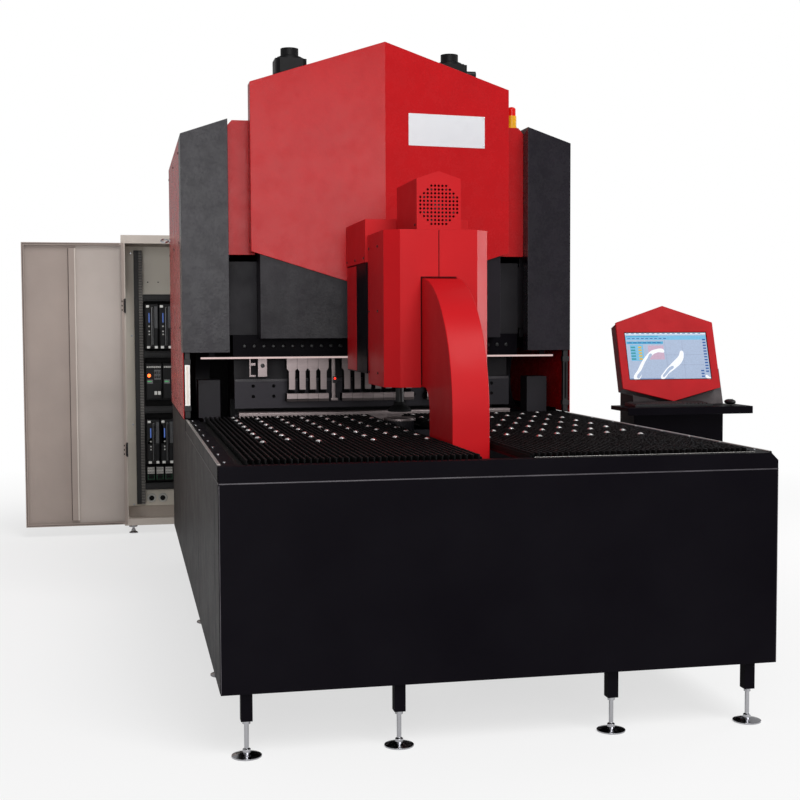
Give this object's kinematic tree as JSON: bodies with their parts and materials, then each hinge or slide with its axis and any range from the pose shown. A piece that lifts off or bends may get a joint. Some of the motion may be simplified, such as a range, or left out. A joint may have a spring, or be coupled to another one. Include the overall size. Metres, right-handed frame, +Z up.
{
  "type": "panel bender",
  "caption": "Servo panel bender with brush and ball worktable, red sheet manipulator, pressing ram, up-and-down bending unit, operator console and switch cabinet.",
  "frame": {"origin": "on the floor below the middle of the bending line, in the plane of the lower die's front face", "axes": "+Z up, +Y from the operator's table to the back of the machine, +X to the operator's right"},
  "size_m": [3.968, 5.5019, 2.92],
  "materials": {
    "frame_paint": "satin dark grey paint",
    "charcoal_paint": "fine textured charcoal powder coat",
    "red_paint": "textured signal red powder coat",
    "black_paint": "satin black powder coat",
    "tool_steel": "ground steel",
    "blade_steel": "blued ground steel",
    "ball_steel": "polished steel",
    "brush_fibre": "dense black fibre",
    "foot_chrome": "chrome plate",
    "motor_black": "satin black",
    "plastic_black": "matte black",
    "pad_rubber": "dull black",
    "lamp_white": "white diffuser",
    "bar_aluminium": "anodised",
    "beacon_yellow": "glossy yellow",
    "beacon_red": "glossy red",
    "screen_glass": "lit display behind a clear cover",
    "pebble_paint": "textured pebble grey",
    "plate_paint": "satin beige"
  },
  "bodies": {
    "machine": {"base_bed": "frame_paint", "side_frame_left": "frame_paint", "side_frame_right": "frame_paint", "crown_beam": "frame_paint", "lower_die": "tool_steel", "ram_motors": "motor_black", "column_covers": "charcoal_paint", "side_panels": "red_paint", "side_skirts": "black_paint", "rear_panel": "frame_paint", "upper_housing": "red_paint", "hood_front": "red_paint", "light_bar": "lamp_white", "light_curtains": "bar_aluminium", "beacon_base": "beacon_yellow", "beacon_lens": "beacon_red", "table_frames": "black_paint", "deck_left": "black_paint", "deck_right": "black_paint", "brush_left": "brush_fibre", "brush_right": "brush_fibre", "balls_left": "ball_steel", "balls_right": "ball_steel", "front_fascia": "black_paint", "front_skirt": "black_paint", "side_rails": "black_paint", "levelling_feet": "foot_chrome", "travel_rails": "tool_steel", "console_body": "black_paint", "bezel": "red_paint", "screen": "screen_glass", "tray": "black_paint", "keyboard": "plastic_black", "mouse": "plastic_black", "cabinet_body": "pebble_paint", "back_plate": "plate_paint", "drive_units": "motor_black", "wire_ducts": "plastic_black"},
    "ram": {"ram_beam": "frame_paint", "ram_cover": "charcoal_paint", "tool_holder": "black_paint", "press_tools": "tool_steel"},
    "screw_l": {"screw_left": "tool_steel"},
    "screw_r": {"screw_right": "tool_steel"},
    "bend_slide": {"bend_carriage": "frame_paint"},
    "bend_head": {"bend_beam": "frame_paint", "upper_blade": "blade_steel", "lower_blade": "blade_steel"},
    "manipulator": {"carriage": "frame_paint", "arm": "red_paint", "head_shell": "red_paint", "fan_cover": "red_paint", "rear_cover": "red_paint", "spindle_housing": "black_paint"},
    "clamp": {"clamp_spindle": "tool_steel"},
    "pad": {"clamp_pad": "pad_rubber"},
    "disc": {"lower_disc": "tool_steel"},
    "door": {"cabinet_door": "pebble_paint"},
    "handle": {"door_handle": "plastic_black"}
  },
  "joints": [
    {"name": "ram_stroke", "type": "slide", "parent": "machine", "child": "ram", "axis": [0, 0, 1], "range_m": [-0.052, 0.1]},
    {"name": "screw_left_turn", "type": "hinge", "parent": "machine", "child": "screw_l", "pos_m": [-0.433, 0.15, 2], "axis": [0, 0, 1], "range_deg": [-936, 1800]},
    {"name": "screw_right_turn", "type": "hinge", "parent": "machine", "child": "screw_r", "pos_m": [0.433, 0.15, 2], "axis": [0, 0, 1], "range_deg": [-936, 1800]},
    {"name": "bend_in_out", "type": "slide", "parent": "machine", "child": "bend_slide", "axis": [0, 1, 0], "range_m": [-0.012, 0.05]},
    {"name": "bend_up_down", "type": "slide", "parent": "bend_slide", "child": "bend_head", "axis": [0, 0, 1], "range_m": [-0.06, 0.06]},
    {"name": "feed", "type": "slide", "parent": "machine", "child": "manipulator", "axis": [0, 1, 0], "range_m": [-0.42, 0.18]},
    {"name": "clamp_stroke", "type": "slide", "parent": "manipulator", "child": "clamp", "axis": [0, 0, 1], "range_m": [-0.0285, 0.04]},
    {"name": "pad_turn", "type": "hinge", "parent": "clamp", "child": "pad", "pos_m": [0, -0.572, 1.06], "axis": [0, 0, 1], "continuous": true},
    {"name": "disc_turn", "type": "hinge", "parent": "manipulator", "child": "disc", "pos_m": [0, -0.572, 1], "axis": [0, 0, 1], "continuous": true},
    {"name": "door_hinge", "type": "hinge", "parent": "machine", "child": "door", "pos_m": [-1.29, 2.617, 1.1], "axis": [0, 0, 1], "range_deg": [0, 180]},
    {"name": "handle_turn", "type": "hinge", "parent": "door", "child": "handle", "pos_m": [-1.946, 2.6365, 1.073], "axis": [0, 1, 0], "range_deg": [0, 90]}
  ],
  "couplings": [
    {"joint": "screw_left_turn", "follows": "ram_stroke", "rad_per_m": 314.16},
    {"joint": "screw_right_turn", "follows": "ram_stroke", "rad_per_m": 314.16},
    {"joint": "disc_turn", "follows": "pad_turn", "ratio": 1}
  ]
}
